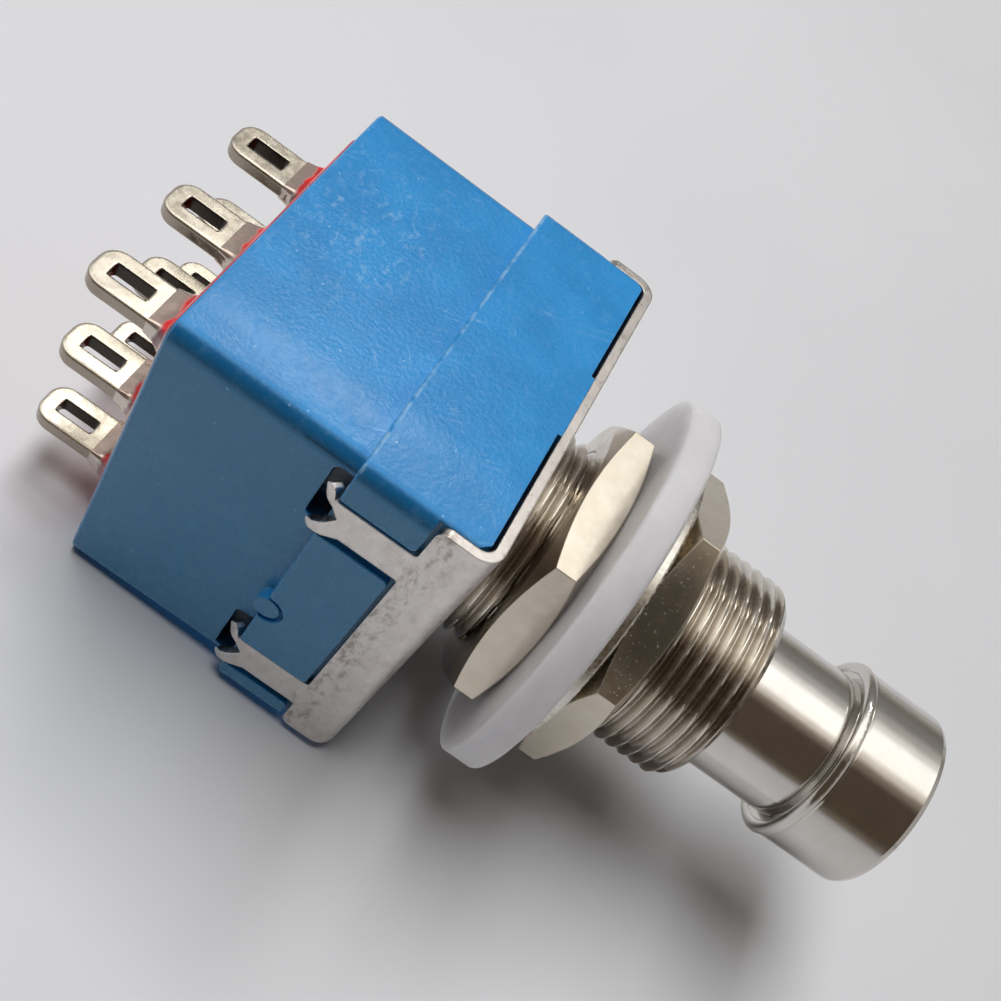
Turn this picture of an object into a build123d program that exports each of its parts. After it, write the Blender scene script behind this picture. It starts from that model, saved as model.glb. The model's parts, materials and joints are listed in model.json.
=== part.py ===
from build123d import *
import math
import os

# A three-pole latching stomp switch (footswitch).
# Frame: millimetres, +Z along the bushing towards the button.
# Origin: where the bushing's axis crosses the outer face of the bracket's plate.
# X runs from pole to pole, Y runs along each pole from one throw to the other.

# ---------------------------------------------------------------- driving dimensions

# housing (blue moulding)
BODY_X = 10.10            # half width of the rear part
BODY_Y = 9.30             # half depth of the rear part
COLLAR_X = 10.85          # half width of the blocks between the bracket's legs
COLLAR_Y = 9.90           # half depth of the collar
CORE_X = 10.35            # half width where the bracket lies on the moulding
REAR_Z = -16.53           # rim at the terminal end
STEP_Z = -6.96            # shoulder between the rear part and the collar
WINDOW_Z = -3.10          # front end of the blocks that fill the bracket's windows
FRONT_Z = -0.72           # front wall, clear of the plate
PAD_HALF = 2.25           # half width of the pads that touch the plate
BODY_EDGE_R = 1.00        # upright edges
COLLAR_EDGE_R = 0.90
CAVITY_X = 8.60
CAVITY_Y = 7.80
CAVITY_TOP = -3.00
BOARD_X = 9.20            # half width of the recess for the terminal board
BOARD_Y = 8.40
BOARD_TOP = -14.90        # inner face of the board
BOARD_BOTTOM = -16.20
BLOCK_CORNER_R = 0.25     # front corners of the blocks
PIT_DEEP = 1.00           # hollows in the rear part that the bracket's horns are bent into
PIT_Z = -7.90
PIT_BEFORE = 2.10         # reach from the leg's middle towards -Y and +Y
PIT_AFTER = 1.80
PIT_CORNER_R = 0.35
GATE_Y = 2.18             # moulding gate's stub in a round pocket of the middle block
GATE_Z = -6.77
GATE_R = 0.95
GATE_STUB_R = 0.68

# bracket (folded sheet)
SHEET = 0.50
BRACKET_X = CORE_X + SHEET   # outer face of the side plates
BRACKET_Y = 9.80          # half depth of the plate
FOLD_R = 1.10             # outside radius of the folds
BAND_Z = -2.88            # lower edge of the side plates between the legs
LEG_W = 2.07
LEG_ROOT_R = 0.20
LEG_V_Z = -6.50           # bottom of the notch in each leg's end
HORN_Z = -7.92            # ends of the two horns of each leg, before they are bent
HORN_R = 0.13             # the horns' rounded corners
BEND_1 = -7.06            # where the horns bend inward over the shoulder, and where they bend again
BEND_2 = -7.38
LEAN_1 = 14.0             # degrees
LEAN_2 = 40.0
# middle of each leg, and the room beside it in its channel towards -Y and +Y
LEGS = ((-6.44, 0.22, 0.58), (6.70, 0.03, 0.58))

# bushing, nuts and washer
THREAD_R = 6.00
THREAD_END = 14.70
BORE_R = 4.36
FLOOR_TOP = 1.00          # top of the inner floor that the spring stands on
STEM_BORE_R = 1.67
SPIGOT_R = 5.00
RIVET_R = 5.55            # rim spread over under the plate
RIVET_Z = -1.05
NUT_FLATS = 15.20         # across the flats
REAR_NUT_Z = 2.20
REAR_NUT_T = 2.31
WASHER_Z = REAR_NUT_Z + REAR_NUT_T
WASHER_T = 1.78
WASHER_R = 10.96
LOCK_Z = WASHER_Z + WASHER_T
LOCK_T = 1.01
LOCK_R = 8.50
LOCK_TEETH = 12
FRONT_NUT_Z = LOCK_Z + LOCK_T
FRONT_NUT_T = 2.20
NUT_CHAMFER = 24.0        # degrees
REAR_NUT_TURN = 11.9      # degrees, where each nut's flats came to rest
FRONT_NUT_TURN = 36.1

# button and plunger
SHAFT_R = 4.30
STEM_R = 1.60
SHOULDER_Z = 8.20         # step from the stem to the shaft
SEAM_Z = 20.95            # groove between the cap's rolled rim and its wall
CAP_R = 5.20
CAP_TOP = 25.66
CAP_WALL = 0.45
BEAD_R = 0.36
BEAD_OUT = 0.12           # how far the rolled rim stands proud of the cap
TRAVEL = 3.00
CLIP_R = 2.60
CLIP_T = 0.40
CLIP_GROOVE_R = 1.15
STEM_END = -3.00
FORK_HALF = 0.45
PAWL_HINGE_Z = -2.45
PAWL_TIP_Z = -4.45
PAWL_TIP_R = 0.45
PAWL_PIN_R = 0.30

# return spring
SPRING_WIRE = 0.33        # radius of the wire
SPRING_R = 3.10
SPRING_TURNS = 5.0

# terminals
POLE_PITCH = 6.07         # X
THROW_PITCH = 5.35        # Y
LUG_HALF = 1.29
LUG_T = 0.80
LUG_TIP = -21.76
LUG_TIP_R = 1.00
LUG_EDGE_R = 0.14         # the lugs are tumbled before they are set in the board
SLOT_HALF = 0.45
SLOT_TOP = -18.84
SLOT_BOTTOM = -20.92
TONGUE_HALF = 1.05
# how far the resin has climbed a lug, and how far it stands out from the lug there
MENISCUS = ((0.0, 0.95), (0.28, 0.52), (0.62, 0.27), (1.05, 0.13), (1.38, 0.06))

# rocking contacts and the cradle that drives them
PIVOT_Z = -13.80          # middle of the rounded top of each middle lug
CONTACT_TILT = 6.0        # degrees, at rest the throws at +Y are closed
SHEET_CU = 0.45
CONTACT_HALF_X = 1.50
CONTACT_HALF_Y = 5.95
CRADLE_Z = -8.40
CRADLE_TILT = 18.0        # degrees
PRESSER_ARM = 3.50        # cradle's axis to the middle of a presser's round tip
PRESSER_R = 1.00
TIP_GAP = 0.03
TRUNNION_R = 1.10
TRUNNION_END = 9.10
RUN = 0.05                # radial clearance of the running fits

POLES = (-POLE_PITCH, 0.0, POLE_PITCH)
THROWS = (-THROW_PITCH, 0.0, THROW_PITCH)


# ---------------------------------------------------------------- small helpers

def block(x0, x1, y0, y1, z0, z1):
    """A box from its two corners."""
    size = (x1 - x0, y1 - y0, z1 - z0)
    return Pos((x0 + x1) / 2, (y0 + y1) / 2, (z0 + z1) / 2) * Box(*size)


def rounded_block(half_x, half_y, z0, z1, radius):
    """A block about the axis with round upright edges."""
    outline = RectangleRounded(2 * half_x, 2 * half_y, radius)
    return Pos(0, 0, z0) * extrude(outline, z1 - z0)


def rod(radius, z0, z1, x=0.0, y=0.0):
    """An upright cylinder."""
    return Pos(x, y, (z0 + z1) / 2) * Cylinder(radius, z1 - z0)


def cross_rod(radius, x0, x1, y, z):
    """A cylinder along X."""
    return Pos((x0 + x1) / 2, y, z) * Rot(0, 90, 0) * Cylinder(radius, x1 - x0)


def turned(points):
    """A solid of revolution from (radius, z) points."""
    outline = Plane.XZ * make_face(Polyline(*points, close=True))
    return revolve(outline, Axis.Z)


def both(shape, plane=Plane.YZ):
    """A shape together with its mirror image."""
    return shape + mirror(shape, about=plane)


def tilted(shape, degrees, z):
    """A shape turned about an axis along X at height z."""
    return Pos(0, 0, z) * Rot(degrees, 0, 0) * Pos(0, 0, -z) * shape


def coil(radius, wire, z0, z1, turns):
    """A helical spring of round wire between two heights."""
    pitch = (z1 - z0) / turns
    path = Pos(0, 0, z0) * Helix(pitch, z1 - z0, radius)
    start = path @ 0
    section = Plane(origin=start, z_dir=path % 0) * Circle(wire)
    return sweep(section, path=path, is_frenet=True)


# ---------------------------------------------------------------- casing

def make_housing():
    """The one-piece moulding: rear part, collar, shoulder, front wall and bearings."""
    body = rounded_block(BODY_X, BODY_Y, REAR_Z, STEP_Z + 0.5, BODY_EDGE_R)
    body = chamfer(body.faces().sort_by(Axis.Z)[0].outer_wire().edges(), 0.12)
    collar = rounded_block(COLLAR_X, COLLAR_Y, STEP_Z, FRONT_Z, COLLAR_EDGE_R)
    collar = fillet(collar.faces().sort_by(Axis.Z)[0].outer_wire().edges(), 0.16)
    shape = body + collar

    # narrow waist that the bracket's side plates wrap, with a channel under each leg
    for side in (-1, 1):
        shape -= bracket_recess(side)
        shape -= fold_relief(side)
        for leg, before, after in LEGS:
            shape -= horn_pit(side, leg)

    # pads that the plate rests on
    pad = block(-PAD_HALF, PAD_HALF, -COLLAR_Y, COLLAR_Y, FRONT_Z - 0.2, -SHEET)
    fold_start = BRACKET_X - FOLD_R
    pad += block(-fold_start, fold_start, -PAD_HALF, PAD_HALF, FRONT_Z - 0.2, -SHEET)
    shape += pad

    # room for the bushing's spread rim and for the clip that travels with the stem
    shape -= rod(RIVET_R + 0.25, RIVET_Z - 0.25, 0)
    shape -= rod(CLIP_R + 0.45, CAVITY_TOP - 1, 0)

    # cavity, recess for the board, and open-ended slots for the cradle's trunnions
    shape -= rounded_block(CAVITY_X, CAVITY_Y, REAR_Z - 1, CAVITY_TOP, 0.6)
    shape -= rounded_block(BOARD_X, BOARD_Y, REAR_Z - 1, BOARD_TOP, 0.5)
    slot_half = TRUNNION_R + RUN
    slot = block(-TRUNNION_END - 0.08, TRUNNION_END + 0.08, -slot_half, slot_half, REAR_Z - 1, CRADLE_Z)
    slot += cross_rod(slot_half, -TRUNNION_END - 0.08, TRUNNION_END + 0.08, 0, CRADLE_Z)
    shape -= slot

    # the gate's stub stands in a round pocket in the middle block's rear edge
    shape -= cross_rod(GATE_R, COLLAR_X - 0.35, 12, GATE_Y, GATE_Z)
    shape += cross_rod(GATE_STUB_R, BODY_X - 0.2, COLLAR_X - 0.06, GATE_Y, GATE_Z)
    return shape


def on_side(face, start, deep, side):
    """A face drawn in the YZ plane, extruded outward from x = start, on the side wanted."""
    solid = Pos(start, 0, 0) * extrude(face, deep)
    return solid if side > 0 else mirror(solid, about=Plane.YZ)


def bracket_recess(side):
    """What the bracket's side plate and legs take out of the collar."""
    points = [(-12, 0), (-12, WINDOW_Z)]
    for leg, before, after in LEGS:
        low = leg - LEG_W / 2 - before
        high = leg + LEG_W / 2 + after
        points += [(low, WINDOW_Z), (low, STEP_Z - 0.5), (high, STEP_Z - 0.5), (high, WINDOW_Z)]
    points += [(12, WINDOW_Z), (12, 0)]
    face = make_face(Polyline(*points, close=True))
    corners = [v for v in face.vertices() if abs(v.Y - WINDOW_Z) < 0.01 and abs(v.X) < 11]
    return on_side(Plane.YZ * fillet(corners, BLOCK_CORNER_R), CORE_X, 2, side)


def fold_relief(side):
    """The bevel that keeps the front wall clear of a fold's inside radius."""
    bevel = 0.42
    edge = Polyline(
        (CORE_X - bevel, 0), (CORE_X - bevel, FRONT_Z), (CORE_X, FRONT_Z - bevel), (12, FRONT_Z - bevel),
        (12, 0), close=True)
    cutter = Pos(0, 12, 0) * extrude(Plane.XZ * make_face(edge), 24)
    return cutter if side > 0 else mirror(cutter, about=Plane.YZ)


def horn_pit(side, leg):
    """The hollow behind the shoulder that a leg's two horns are bent into."""
    low, high = leg - PIT_BEFORE, leg + PIT_AFTER
    points = [(low, STEP_Z), (low, PIT_Z), (high, PIT_Z), (high, STEP_Z)]
    face = make_face(Polyline(*points, close=True))
    face = fillet(face.vertices().group_by(Axis.Y)[0], PIT_CORNER_R)
    return on_side(Plane.YZ * face, BODY_X - PIT_DEEP, 2, side)


def leg_outline(leg):
    """One leg of the bracket, its end notched and spread into two rounded horns."""
    half = LEG_W / 2
    line = Polyline(
        (leg - half, BAND_Z + 0.5), (leg - half, -7.08),
        (leg - half - 0.50, -7.28), (leg - half - 0.58, HORN_Z + 0.26), (leg - half - 0.28, HORN_Z),
        (leg - 0.88, HORN_Z + 0.33), (leg - 0.62, -7.02), (leg, LEG_V_Z),
        (leg + 0.58, -6.86), (leg + 1.12, -7.40), (leg + half + 0.42, HORN_Z),
        (leg + half + 0.64, HORN_Z + 0.30), (leg + half + 0.45, -6.75), (leg + half, -6.00),
        (leg + half, BAND_Z + 0.5), close=True)
    face = make_face(line)
    ends = [v for v in face.vertices() if v.Y < -6.2]
    return fillet(ends, HORN_R)


def bent_leg(leg):
    """A leg at the +X side plate, its horns bent inward in two steps."""
    flat = Pos(BRACKET_X - SHEET, 0, 0) * extrude(Plane.YZ * leg_outline(leg), SHEET)
    straight = flat & block(0, 20, -20, 20, BEND_1, 0)
    root = flat & block(0, 20, -20, 20, BEND_2, BEND_1)
    tips = flat & block(0, 20, -20, 20, -20, BEND_2)
    first = Pos(BRACKET_X, 0, BEND_1)
    second = Pos(BRACKET_X, 0, BEND_2)
    tips = second * Rot(0, LEAN_2 - LEAN_1, 0) * second.inverse() * tips
    return straight + first * Rot(0, LEAN_1, 0) * first.inverse() * (root + tips)


def make_bracket():
    """The folded sheet: a plate, two side plates, and two staked legs on each."""
    inner_r = FOLD_R - SHEET
    outer = make_face(Polyline(
        (-BRACKET_X, BAND_Z), (-BRACKET_X, 0), (BRACKET_X, 0), (BRACKET_X, BAND_Z), close=True))
    outer = fillet(outer.vertices().group_by(Axis.Y)[-1], FOLD_R)
    inside = BRACKET_X - SHEET
    inner = make_face(Polyline(
        (-inside, BAND_Z - 1), (-inside, -SHEET), (inside, -SHEET), (inside, BAND_Z - 1), close=True))
    inner = fillet(inner.vertices().group_by(Axis.Y)[-1], inner_r)
    channel = Pos(0, BRACKET_Y, 0) * extrude(Plane.XZ * (outer - inner), 2 * BRACKET_Y)

    # corners of the plate and of the side plates are broken by a small radius
    corner_r = 0.5
    lower = [e for e in channel.edges().filter_by(Axis.X) if abs(e.center().Z - BAND_Z) < 0.01]
    channel = fillet(lower, corner_r)

    # the bushing's spigot goes through the plate
    channel -= rod(SPIGOT_R, -1, 1)

    # the legs, joined to the side plates through small radii
    for leg, before, after in LEGS:
        channel += both(bent_leg(leg))
    sides = [leg + end * LEG_W / 2 for leg, before, after in LEGS for end in (-1, 1)]
    roots = [
        e for e in channel.edges().filter_by(Axis.X)
        if abs(e.center().Z - BAND_Z) < 0.01 and min(abs(e.center().Y - y) for y in sides) < 0.01]
    return fillet(roots, LEG_ROOT_R)


def make_terminal_board():
    """The laminate board that the lugs stand in."""
    board = rounded_block(BOARD_X, BOARD_Y, BOARD_BOTTOM, BOARD_TOP, 0.5)
    for x in POLES:
        for y in THROWS:
            board -= lug_section(x, y, BOARD_BOTTOM - 1, BOARD_TOP + 1)
    return board


def lug_section(x, y, z0, z1):
    """The bar that a lug fills where it goes through the board and the resin."""
    outline = RectangleRounded(2 * LUG_HALF, LUG_T, LUG_EDGE_R)
    return Pos(x, y, z0) * extrude(outline, z1 - z0)


def make_sealing_resin():
    """Resin cast over the board, standing up round each lug."""
    top = REAR_Z - 0.42
    slab = rounded_block(BOARD_X, BOARD_Y, REAR_Z + 0.02, BOARD_BOTTOM, 0.5)
    layer = rounded_block(BOARD_X - 0.35, BOARD_Y - 0.35, top, REAR_Z + 0.1, 0.8)
    layer = fillet(layer.faces().sort_by(Axis.Z)[0].outer_wire().edges(), 0.3)
    shape = slab + layer
    for x in POLES:
        for y in THROWS:
            shape += Pos(x, y, top + 0.1) * resin_mound()
    for x in POLES:
        for y in THROWS:
            shape -= lug_section(x, y, REAR_Z - 4, BOARD_BOTTOM + 1)
    return shape


def resin_mound():
    """The meniscus of resin that climbs a lug, hollow in section."""
    sections = [
        Plane.XY.offset(-climb) * RectangleRounded(2 * (LUG_HALF + out), LUG_T + 2 * out, out + 0.12)
        for climb, out in MENISCUS]
    return loft([section.face() for section in sections])


def make_contact_guide():
    """The inner frame: walls between the poles and posts that close the trunnion slots."""
    rail_top = -13.0
    wall_top = -12.0
    shape = None
    for side in (-1, 1):
        rail = block(-8.2, 8.2, *sorted((side * 6.7, side * 7.7)), BOARD_TOP, rail_top)
        wall = block(*sorted((side * 2.68, side * 3.38)), -7.2, 7.2, BOARD_TOP, wall_top)
        end = block(*sorted((side * 7.95, side * 8.5)), -7.2, 7.2, BOARD_TOP, wall_top)
        post_end = TRUNNION_END - 0.02
        post_top = CRADLE_Z - TRUNNION_R + 0.5
        post = block(*sorted((side * 8.4, side * post_end)), -1.0, 1.0, BOARD_TOP, post_top)
        post -= cross_rod(TRUNNION_R + RUN, -10, 10, 0, CRADLE_Z)
        group = rail + wall + end + post
        shape = group if shape is None else shape + group
    return shape


# ---------------------------------------------------------------- bushing and fasteners

def make_bushing():
    """The threaded bushing, its spigot spread over under the plate."""
    tip = 0.5
    shape = turned([
        (BORE_R, FLOOR_TOP), (BORE_R, THREAD_END - 0.25), (BORE_R + 0.25, THREAD_END),
        (THREAD_R - tip, THREAD_END), (THREAD_R, THREAD_END - tip), (THREAD_R, 0.0),
        (SPIGOT_R, 0.0), (SPIGOT_R, -SHEET), (RIVET_R, -SHEET), (RIVET_R - 0.2, RIVET_Z),
        (STEM_BORE_R, RIVET_Z), (STEM_BORE_R, FLOOR_TOP)])
    return shape


def make_nut(z, thick, turn):
    """A hexagon nut with both faces chamfered."""
    outline = Rot(0, 0, turn) * RegularPolygon(NUT_FLATS / 2, 6, major_radius=False)
    hexagon = Pos(0, 0, z) * extrude(outline, thick)
    corner = NUT_FLATS / math.sqrt(3)
    land = NUT_FLATS / 2 - 0.15
    drop = (corner + 1 - land) * math.tan(math.radians(NUT_CHAMFER))
    cone = turned([
        (0, z), (land, z), (corner + 1, z + drop), (corner + 1, z + thick - drop),
        (land, z + thick), (0, z + thick)])
    hole = rod(THREAD_R, z - 1, z + thick + 1)
    return (hexagon & cone) - hole


def make_panel_washer():
    """The flat nylon washer."""
    ring = rod(WASHER_R, WASHER_Z, WASHER_Z + WASHER_T) - rod(THREAD_R + 0.1, 0, 20)
    rims = [e for e in ring.edges().filter_by(GeomType.CIRCLE) if abs(e.radius - WASHER_R) < 0.01]
    return fillet(rims, 0.18)


def make_lock_washer():
    """The metal lock washer, a ring with twisted teeth on its inside."""
    inner = 7.05
    tooth = 0.62
    ring = rod(LOCK_R, LOCK_Z, LOCK_Z + LOCK_T) - rod(inner, 0, 20)
    rims = [e for e in ring.edges().filter_by(GeomType.CIRCLE) if abs(e.radius - LOCK_R) < 0.01]
    ring = fillet(rims, 0.15)
    middle = LOCK_Z + LOCK_T / 2
    for number in range(LOCK_TEETH):
        blade = Pos((THREAD_R + inner) / 2 + 0.15, 0, 0) * Box(inner - THREAD_R, 1.7, tooth)
        blade = Rot(12, 0, 0) * blade
        ring += Pos(0, 0, middle) * Rot(0, 0, 360 / LOCK_TEETH * number) * blade
    return ring


# ---------------------------------------------------------------- button and plunger

def make_plunger():
    """The turned shaft: guide, stem, clip groove and the fork for the pawl."""
    boss_r = CAP_R - CAP_WALL
    groove_top = RIVET_Z - 0.02
    shape = turned([
        (0, STEM_END), (STEM_R - 0.3, STEM_END), (STEM_R, STEM_END + 0.3), (STEM_R, groove_top - CLIP_T),
        (CLIP_GROOVE_R, groove_top - CLIP_T), (CLIP_GROOVE_R, groove_top), (STEM_R, groove_top),
        (STEM_R, SHOULDER_Z), (SHAFT_R - 0.3, SHOULDER_Z), (SHAFT_R, SHOULDER_Z + 0.3),
        (SHAFT_R, SEAM_Z), (boss_r, SEAM_Z), (boss_r, CAP_TOP - CAP_WALL), (0, CAP_TOP - CAP_WALL)])
    slot = block(-FORK_HALF, FORK_HALF, -3, 3, STEM_END - 1, PAWL_HINGE_Z + 0.72)
    pin_hole = cross_rod(PAWL_PIN_R, -2, 2, 0, PAWL_HINGE_Z)
    return shape - slot - pin_hole


def make_button_cap():
    """The drawn cap with its open end rolled outward into a bead."""
    inner = CAP_R - CAP_WALL
    wall = turned([
        (inner, SEAM_Z), (CAP_R - 0.07, SEAM_Z), (CAP_R, SEAM_Z + 0.1), (CAP_R, CAP_TOP - 0.45),
        (CAP_R - 0.13, CAP_TOP - 0.16), (CAP_R - 0.45, CAP_TOP), (0, CAP_TOP),
        (0, CAP_TOP - CAP_WALL), (inner, CAP_TOP - CAP_WALL)])
    bead_mid = CAP_R + BEAD_OUT - BEAD_R
    bead_z = SEAM_Z - BEAD_R + 0.05
    bead = Pos(0, 0, bead_z) * Torus(bead_mid, BEAD_R)
    bead -= rod(inner, SEAM_Z, CAP_TOP)
    throat = SHAFT_R + 0.01
    lip = turned([
        (throat, bead_z - 0.05), (bead_mid, bead_z - 0.30), (bead_mid, SEAM_Z), (throat, SEAM_Z)])
    return wall + bead + lip


def make_return_spring():
    """The coil spring between the bushing's floor and the plunger's shoulder."""
    gap = SPRING_WIRE + 0.03
    return coil(SPRING_R, SPRING_WIRE, FLOOR_TOP + gap, SHOULDER_Z - gap, SPRING_TURNS)


def make_stem_clip():
    """The open ring that stops the plunger under the bushing."""
    top = RIVET_Z - 0.02
    ring = rod(CLIP_R, top - CLIP_T, top) - rod(CLIP_GROOVE_R, -5, 0)
    mouth = block(-0.85, 0.85, 0, 4, -5, 0)
    relief = rod(0.45, -5, 0, -1.75, -0.6) + rod(0.45, -5, 0, 1.75, -0.6)
    return ring - mouth - relief


def make_pawl():
    """The flat pawl that hangs from the stem's fork."""
    knuckle = 0.62
    line = Polyline(
        (-knuckle, PAWL_HINGE_Z), (knuckle, PAWL_HINGE_Z), (PAWL_TIP_R, PAWL_TIP_Z + PAWL_TIP_R),
        (-PAWL_TIP_R, PAWL_TIP_Z + PAWL_TIP_R), close=True)
    thick = 2 * (FORK_HALF - RUN)
    web = Pos(-thick / 2, 0, 0) * extrude(Plane.YZ * make_face(line), thick)
    shape = web + cross_rod(knuckle, -thick / 2, thick / 2, 0, PAWL_HINGE_Z)
    shape += cross_rod(PAWL_TIP_R, -thick / 2, thick / 2, 0, PAWL_TIP_Z + PAWL_TIP_R)
    return shape - cross_rod(PAWL_PIN_R + 0.04, -2, 2, 0, PAWL_HINGE_Z)


def make_pawl_pin():
    """The cross pin of the pawl."""
    return cross_rod(PAWL_PIN_R, -1.5, 1.5, 0, PAWL_HINGE_Z)


# ---------------------------------------------------------------- cradle and pressers

def make_cradle():
    """The moulded see-saw: trunnions, a vee for the pawl, and a bored leg over each pole."""
    beam = block(-7.75, 7.75, -1.7, 1.7, CRADLE_Z - 1.9, CRADLE_Z + 0.9)
    beam = fillet(beam.edges().filter_by(Axis.X), 0.4)
    valley = 0.30
    slope = math.radians(30)
    half = 3.2
    rise = valley + half * math.tan(slope)
    vee = Polyline(
        (-half, CRADLE_Z - 0.6), (-half, CRADLE_Z + rise), (0, CRADLE_Z + valley),
        (half, CRADLE_Z + rise), (half, CRADLE_Z - 0.6),
        (1.2, CRADLE_Z - 1.6), (-1.2, CRADLE_Z - 1.6), close=True)
    beam -= block(-2.2, 2.2, -3, 3, CRADLE_Z + valley - 0.1, CRADLE_Z + 2)
    saddle = Pos(-2.2, 0, 0) * extrude(Plane.YZ * make_face(vee), 4.4)
    shape = beam + saddle + cross_rod(TRUNNION_R, -TRUNNION_END, TRUNNION_END, 0, CRADLE_Z)
    shape -= Pos(-2.3, 0, 0) * extrude(Plane.YZ * vee_space(valley, half, rise), 4.6)
    for x in POLES:
        shape += rod(1.5, CRADLE_Z - 2.4, CRADLE_Z - 1.2, x)
    for x in POLES:
        shape -= rod(PRESSER_R + RUN, CRADLE_Z - 3, CRADLE_Z - 0.35, x)
    return tilted(shape, CRADLE_TILT, CRADLE_Z)


def vee_space(valley, half, rise):
    """The open space above the vee."""
    return make_face(Polyline(
        (0, CRADLE_Z + valley), (half, CRADLE_Z + rise), (half, CRADLE_Z + 3),
        (-half, CRADLE_Z + 3), (-half, CRADLE_Z + rise), close=True))


def make_presser(x):
    """A round-nosed pin that slides in a cradle leg and rides on the contact."""
    nose = Pos(x, 0, CRADLE_Z - PRESSER_ARM) * Sphere(PRESSER_R)
    shank = rod(PRESSER_R, CRADLE_Z - PRESSER_ARM, CRADLE_Z - 1.9, x)
    return tilted(nose + shank, CRADLE_TILT, CRADLE_Z)


def make_presser_spring(x):
    """The small spring behind a presser."""
    wire = 0.13
    spring = coil(0.78, wire, CRADLE_Z - 1.9 + wire, CRADLE_Z - 0.35 - wire, 4)
    return tilted(Pos(x, 0, 0) * spring, CRADLE_TILT, CRADLE_Z)


# ---------------------------------------------------------------- contacts and lugs

def dish():
    """Radius and middle height of the contact's dish, which a presser's nose follows."""
    drop = CRADLE_Z - PIVOT_Z
    a = math.radians(CRADLE_TILT)
    b = math.radians(CONTACT_TILT)
    y = PRESSER_ARM * math.sin(a)
    z = drop - PRESSER_ARM * math.cos(a)
    end_y = y * math.cos(b) - z * math.sin(b)
    end_z = y * math.sin(b) + z * math.cos(b)
    low = drop - PRESSER_ARM
    rise = end_z - low
    path_r = (end_y ** 2 + rise ** 2) / (2 * rise)
    return path_r + PRESSER_R + TIP_GAP, low + path_r


def make_contact(x):
    """A gull-wing rocking contact with two ears that straddle the middle lug."""
    radius, middle = dish()
    bottom_z = middle - radius
    edge_y = 1.6
    drop = math.sqrt(radius ** 2 - edge_y ** 2)
    edge_z = middle - drop
    crest_y = 1.9
    crest_z = edge_z + (crest_y - edge_y) * edge_y / drop
    pad_y = 4.3
    pad_z = 0.55
    under_r = radius + SHEET_CU
    under_y = 1.35
    under_z = middle - math.sqrt(under_r ** 2 - under_y ** 2)
    wing = [
        (edge_y, edge_z), (crest_y, crest_z), (pad_y, pad_z), (CONTACT_HALF_Y, pad_z),
        (CONTACT_HALF_Y, pad_z - SHEET_CU), (pad_y - 0.1, pad_z - SHEET_CU),
        (crest_y + 0.05, crest_z - 0.58), (under_y, under_z)]
    outline = [
        ThreePointArc((-edge_y, edge_z), (0, bottom_z), (edge_y, edge_z)),
        Polyline(*wing),
        ThreePointArc((under_y, under_z), (0, middle - under_r), (-under_y, under_z)),
        Polyline(*[(-y, z) for y, z in reversed(wing)])]
    profile = make_face([edge for curve in outline for edge in curve.edges()])
    strip = Pos(-CONTACT_HALF_X, 0, 0) * extrude(Plane.YZ * profile, 2 * CONTACT_HALF_X)
    ear = block(TONGUE_HALF + RUN, CONTACT_HALF_X, -0.8, 0.8, -0.45, bottom_z - 0.2)
    shape = strip + both(ear)
    return Pos(x, 0, PIVOT_Z) * Rot(-CONTACT_TILT, 0, 0) * shape


def outer_lug_top():
    """Height of the rounding's middle on an outer lug, just clear of a closed contact."""
    b = math.radians(CONTACT_TILT)
    pad_under = 0.10
    reach = pad_under - LUG_T / 2 - TIP_GAP
    return PIVOT_Z + (reach - THROW_PITCH * math.sin(b)) / math.cos(b)


def make_lug(x, y):
    """One flat lug: solder end with its slot, and the tongue inside the housing."""
    top = PIVOT_Z if y == 0 else outer_lug_top()
    outside = block(-LUG_HALF, LUG_HALF, -LUG_T / 2, LUG_T / 2, LUG_TIP, BOARD_TOP)
    corners = [e for e in outside.edges().filter_by(Axis.Y) if e.center().Z < LUG_TIP + 0.1]
    outside = fillet(corners, LUG_TIP_R)
    faces = [face.outer_wire().edges() for face in outside.faces().filter_by(Axis.Y)]
    outside = fillet([e for edges in faces for e in edges if e.center().Z < BOARD_TOP - 0.1], LUG_EDGE_R)
    slot = block(-SLOT_HALF, SLOT_HALF, -1, 1, SLOT_BOTTOM, SLOT_TOP)
    slot = fillet(slot.edges().filter_by(Axis.Y), 0.2)
    tongue = block(-TONGUE_HALF, TONGUE_HALF, -LUG_T / 2, LUG_T / 2, BOARD_TOP - 0.5, top)
    tongue += cross_rod(LUG_T / 2, -TONGUE_HALF, TONGUE_HALF, 0, top)
    return Pos(x, y, 0) * (outside - slot + tongue)


# ---------------------------------------------------------------- all pieces

def pieces():
    """Every node's name with its solid."""
    made = {
        "housing": make_housing(),
        "bracket": make_bracket(),
        "terminal_board": make_terminal_board(),
        "sealing_resin": make_sealing_resin(),
        "contact_guide": make_contact_guide(),
        "bushing": make_bushing(),
        "rear_nut": make_nut(REAR_NUT_Z, REAR_NUT_T, REAR_NUT_TURN),
        "panel_washer": make_panel_washer(),
        "lock_washer": make_lock_washer(),
        "front_nut": make_nut(FRONT_NUT_Z, FRONT_NUT_T, FRONT_NUT_TURN),
        "plunger": make_plunger(),
        "button_cap": make_button_cap(),
        "return_spring": make_return_spring(),
        "stem_clip": make_stem_clip(),
        "pawl": make_pawl(),
        "pawl_pin": make_pawl_pin(),
        "cradle": make_cradle(),
    }
    for number, x in enumerate(POLES, 1):
        made[f"presser_{number}"] = make_presser(x)
        made[f"presser_spring_{number}"] = make_presser_spring(x)
        made[f"contact_{number}"] = make_contact(x)
        for letter, y in zip("abc", THROWS):
            made[f"lug_{number}{letter}"] = make_lug(x, y)
    return made


os.makedirs("parts", exist_ok=True)
for name, shape in pieces().items():
    export_step(shape, f"parts/{name}.step")
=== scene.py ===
import json
import math

import bpy
from mathutils import Matrix, Quaternion, Vector


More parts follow.
